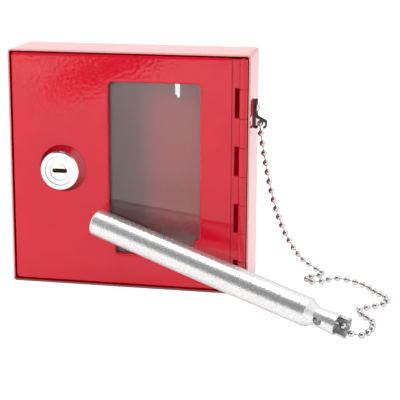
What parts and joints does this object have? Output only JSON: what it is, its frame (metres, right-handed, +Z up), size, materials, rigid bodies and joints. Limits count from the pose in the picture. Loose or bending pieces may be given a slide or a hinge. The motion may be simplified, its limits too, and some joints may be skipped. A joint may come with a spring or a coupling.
{
  "type": "break glass key box",
  "caption": "Shallow sheet-steel wall box for a key, with a hinged glazed door, a cam lock, and a turned metal hammer on a bead chain.",
  "frame": {"origin": "centre of the case's bottom face, on the surface it stands on", "axes": "+X right as seen from the front, +Y into the box towards the wall, +Z up"},
  "size_m": [0.2366, 0.1203, 0.148],
  "materials": {
    "red_paint": "glossy red powder coat with a light orange peel",
    "bright_steel": "zinc-plated steel",
    "nickel": "polished nickel plate",
    "chrome_plate": "polished chrome plate",
    "brass": "plain brass",
    "clear_glass": "clear float glass",
    "turned_aluminium": "bright turned surface with fine rings"
  },
  "bodies": {
    "case": {"case_shell": "red_paint", "case_hinge_leaf": "red_paint", "hinge_pin": "bright_steel", "lock_strike": "bright_steel", "chain_clip": "nickel", "clip_rivet": "nickel", "clip_bead": "nickel", "bead_chain": "nickel"},
    "door": {"door_panel": "red_paint", "door_hinge_leaf": "red_paint", "glass_pane": "clear_glass", "glass_rail_left": "red_paint", "glass_rail_right": "red_paint", "glass_rail_bottom": "red_paint", "glass_stop_clip": "bright_steel", "stop_clip_stud": "bright_steel", "stop_clip_nut": "bright_steel", "lock_housing": "chrome_plate", "lock_bezel": "chrome_plate", "lock_washer": "bright_steel", "lock_nut": "bright_steel"},
    "lock_core": {"lock_plug": "chrome_plate", "lock_wafers": "brass", "lock_cam": "bright_steel", "cam_washer": "bright_steel", "cam_screw": "bright_steel"},
    "chain_end": {"chain_end_bead": "nickel"},
    "hammer": {"hammer_rod": "turned_aluminium", "neck_cross_pin": "bright_steel", "neck_bead": "nickel"}
  },
  "joints": [
    {"name": "door_hinge", "type": "hinge", "parent": "case", "child": "door", "pos_m": [0.0711, -0.0215, 0.0746], "axis": [0, 0, 1], "range_deg": [0, 110]},
    {"name": "lock_turn", "type": "hinge", "parent": "door", "child": "lock_core", "pos_m": [-0.041, -0.02, 0.0747], "axis": [0, 1, 0], "range_deg": [0, 90]},
    {"name": "hammer_swing", "type": "hinge", "parent": "case", "child": "chain_end", "pos_m": [0.1364, -0.08124, 0.00704], "axis": [0, 0, 1], "range_deg": [0, 143], "deforming": ["bead_chain"]},
    {"name": "hammer_lift", "type": "hinge", "parent": "chain_end", "child": "hammer", "pos_m": [0.1364, -0.08124, 0.00704], "axis": [0.3305, 0.9438, 0], "range_deg": [0, 60]}
  ],
  "couplings": [
    {"joint": "hammer_swing", "follows": "door_hinge", "ratio": 1.3}
  ]
}
